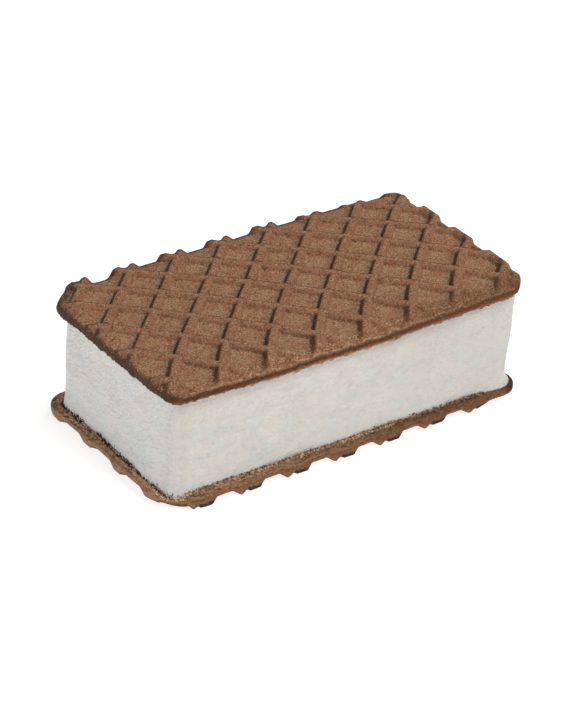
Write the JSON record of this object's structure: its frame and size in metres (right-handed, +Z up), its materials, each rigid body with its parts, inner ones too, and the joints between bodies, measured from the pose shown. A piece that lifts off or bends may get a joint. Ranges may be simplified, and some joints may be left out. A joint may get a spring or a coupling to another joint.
{
  "type": "ice cream sandwich",
  "caption": "Rectangular slab of plain ice cream held between two brown waffle wafers with a raised diamond ridge pattern.",
  "frame": {"origin": "under the middle of the sandwich, on the surface that the lower wafer's ridges stand on", "axes": "+X along the length, +Y across the width towards the upper wafer's sharp-cut long edge, +Z up through the layers"},
  "size_m": [0.1112, 0.0622, 0.0371],
  "materials": {
    "wafer": "baked brown wafer: matt, fine-grained and slightly sparkling; matte_plastic stands in for baked dough",
    "ice_cream": "off-white frozen ice cream, matt and softly grained; matte_plastic stands in for ice cream"
  },
  "bodies": {
    "root": {"wafer_bottom": "wafer", "ice_cream": "ice_cream", "wafer_top": "wafer"}
  },
  "joints": []
}
